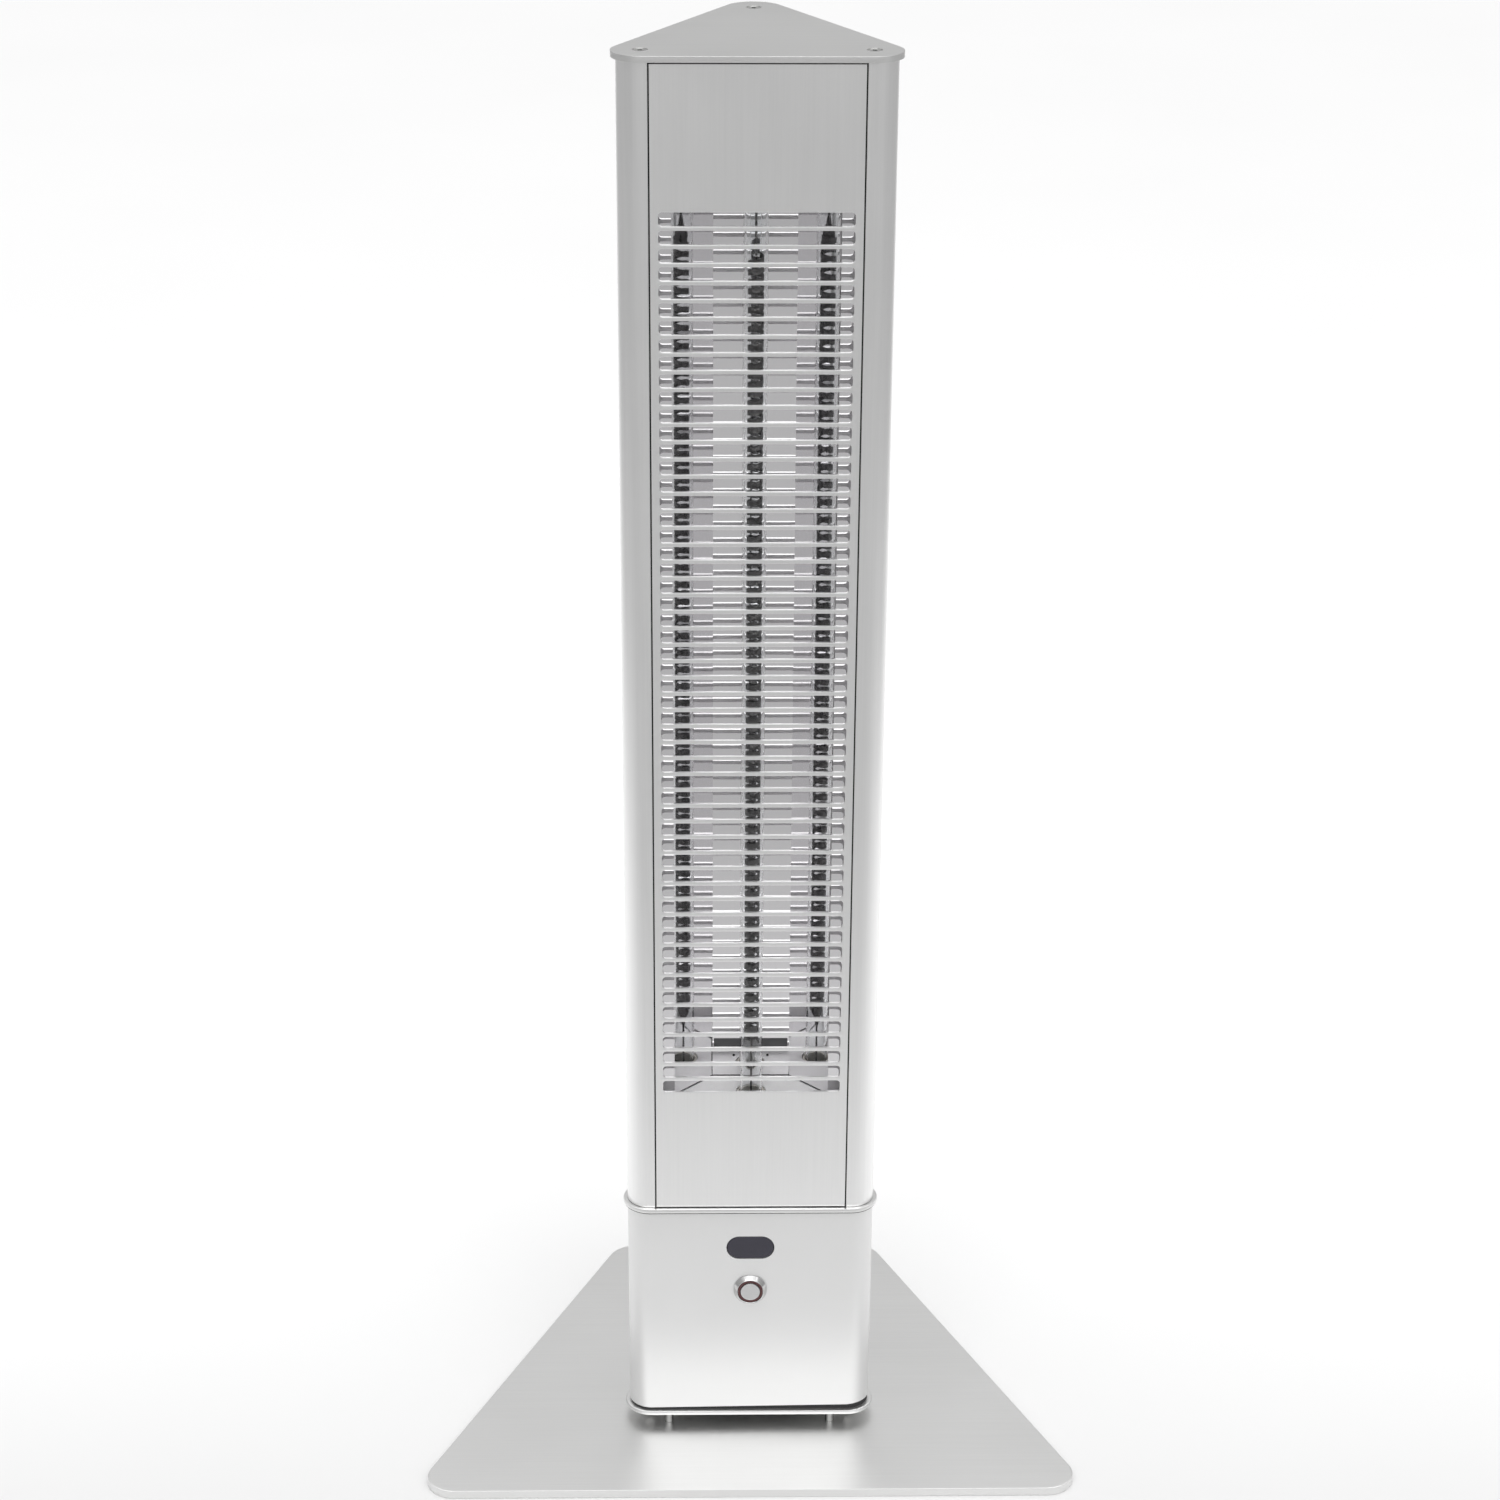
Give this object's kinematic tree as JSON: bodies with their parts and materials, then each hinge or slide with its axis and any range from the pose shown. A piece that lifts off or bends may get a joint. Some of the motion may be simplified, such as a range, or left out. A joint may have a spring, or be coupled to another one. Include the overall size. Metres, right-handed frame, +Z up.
{
  "type": "infrared patio heater tower",
  "caption": "Freestanding triangular infrared patio heater: slotted aluminium tower with reflectors and carbon tubes, on a base box with display and push button, standing on a wide flat plate.",
  "frame": {"origin": "on the floor under the base plate, on the vertical axis of the tower", "axes": "+Z up along the tower, -Y out of the face with the display and the push button, +X to the right as seen from the front"},
  "size_m": [0.4256, 0.2961, 0.9326],
  "materials": {
    "satin_aluminium": "satin",
    "silver_paint": "satin silver",
    "mirror_aluminium": "mirror bright",
    "zinc_steel": "zinc plated",
    "polished_steel": "polished",
    "quartz": "clear",
    "carbon": "matt black carbon",
    "ceramic": "off-white ceramic",
    "black_rubber": "matt",
    "smoked_lens": "smoked, glossy",
    "ring_plastic": "translucent dark red",
    "black_plastic": "matt",
    "board_green": "lacquered board",
    "loom_sleeve": "glass fibre sleeve"
  },
  "bodies": {
    "tower": {"base_plate": "satin_aluminium", "spacer_1": "polished_steel", "base_screw_1": "zinc_steel", "spacer_2": "polished_steel", "base_screw_2": "zinc_steel", "spacer_3": "polished_steel", "base_screw_3": "zinc_steel", "lower_plate": "satin_aluminium", "base_gasket": "black_rubber", "base_housing": "silver_paint", "mid_plate": "satin_aluminium", "top_plate": "satin_aluminium", "display_window": "smoked_lens", "display_module": "black_plastic", "button_body": "polished_steel", "button_light_ring": "ring_plastic", "button_nut": "zinc_steel", "button_terminals": "black_plastic", "cable_gland": "black_plastic", "gland_locknut": "black_plastic", "control_board": "board_green", "terminal_block": "ceramic", "tilt_switch": "black_plastic", "tube_carrier_lower": "mirror_aluminium", "tube_carrier_upper": "mirror_aluminium", "lead_loom": "loom_sleeve", "upper_terminal": "ceramic", "corner_profile_right": "satin_aluminium", "tie_bolt_right": "zinc_steel", "top_screw_right": "zinc_steel", "corner_profile_rear": "satin_aluminium", "tie_bolt_rear": "zinc_steel", "top_screw_rear": "zinc_steel", "corner_profile_left": "satin_aluminium", "tie_bolt_left": "zinc_steel", "top_screw_left": "zinc_steel", "grille_panel_front": "satin_aluminium", "reflector_front": "mirror_aluminium", "quartz_tube_front": "quartz", "carbon_spiral_front": "carbon", "tube_cap_lower_front": "ceramic", "tube_cap_upper_front": "ceramic", "grille_panel_right": "satin_aluminium", "reflector_right": "mirror_aluminium", "quartz_tube_right": "quartz", "carbon_spiral_right": "carbon", "tube_cap_lower_right": "ceramic", "tube_cap_upper_right": "ceramic", "grille_panel_left": "satin_aluminium", "reflector_left": "mirror_aluminium", "quartz_tube_left": "quartz", "carbon_spiral_left": "carbon", "tube_cap_lower_left": "ceramic", "tube_cap_upper_left": "ceramic"},
    "button": {"button_cap": "polished_steel"}
  },
  "joints": [
    {"name": "button_press", "type": "slide", "parent": "tower", "child": "button", "axis": [0, 1, 0], "range_m": [0, 0.0025], "stiffness_N_per_m": 400, "springref_m": -0.002}
  ]
}
